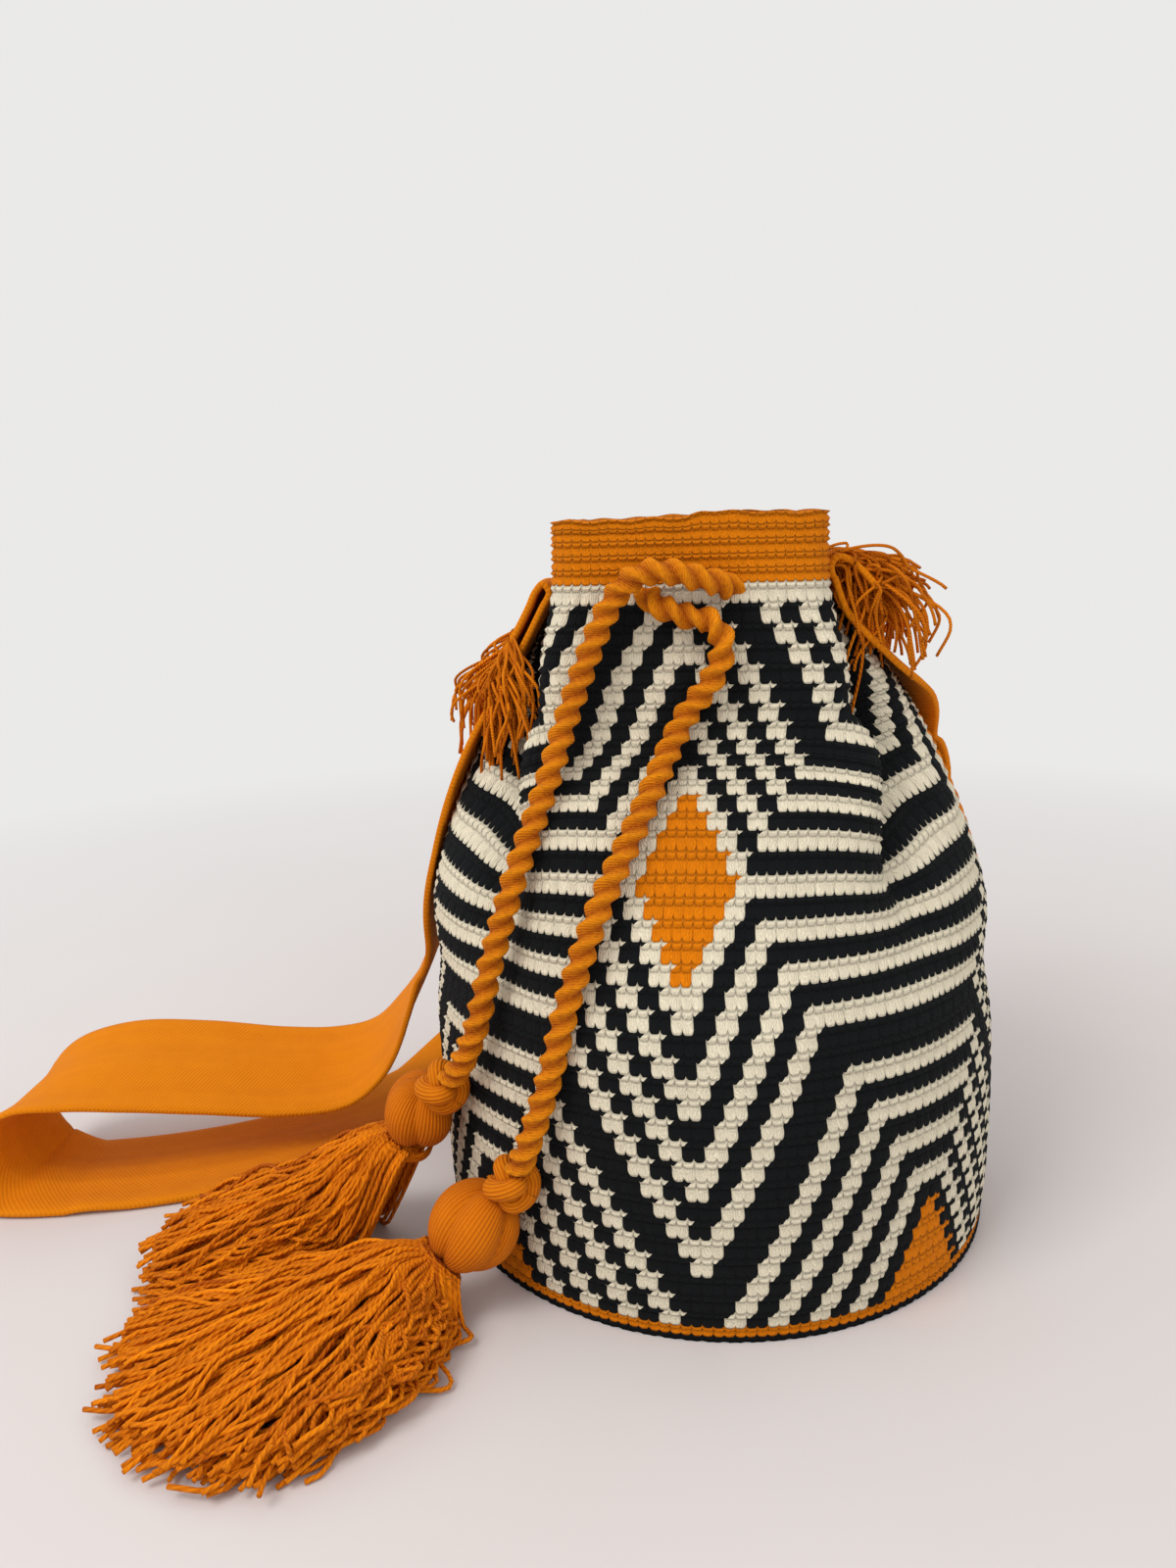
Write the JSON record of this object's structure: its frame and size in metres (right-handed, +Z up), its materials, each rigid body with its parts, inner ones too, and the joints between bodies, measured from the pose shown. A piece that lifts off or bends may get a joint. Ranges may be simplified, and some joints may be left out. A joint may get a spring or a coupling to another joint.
{
  "type": "wayuu mochila bag",
  "caption": "Crocheted drawstring shoulder bag with stepped diamond pattern, gathered neck, twisted cord with tassels and woven strap.",
  "frame": {"origin": "centre of the underside of the round base, on the table", "axes": "+Z up out of the mouth, -Y towards the viewer and square to the front panel with the orange diamond, +X to the viewer's right; the strap loop lies to -X"},
  "size_m": [0.4084, 0.3093, 0.27],
  "materials": {
    "crochet": "matte cotton yarn in tight single crochet; black with cream and orange in the real pattern",
    "cord_yarn": "matte twisted cotton yarn",
    "strap_weave": "matte close diagonal weave",
    "tassel_thread": "matte two-ply thread"
  },
  "bodies": {
    "root": {"bag_body": "crochet", "drawcord": "cord_yarn", "strap": "strap_weave", "strap_fringe_left": "tassel_thread", "strap_fringe_right": "tassel_thread", "tassel_front_knot": "cord_yarn", "tassel_front_head": "tassel_thread", "tassel_front_binding": "tassel_thread", "tassel_front_skirt": "tassel_thread", "tassel_rear_knot": "cord_yarn", "tassel_rear_head": "tassel_thread", "tassel_rear_binding": "tassel_thread", "tassel_rear_skirt": "tassel_thread"}
  },
  "joints": []
}
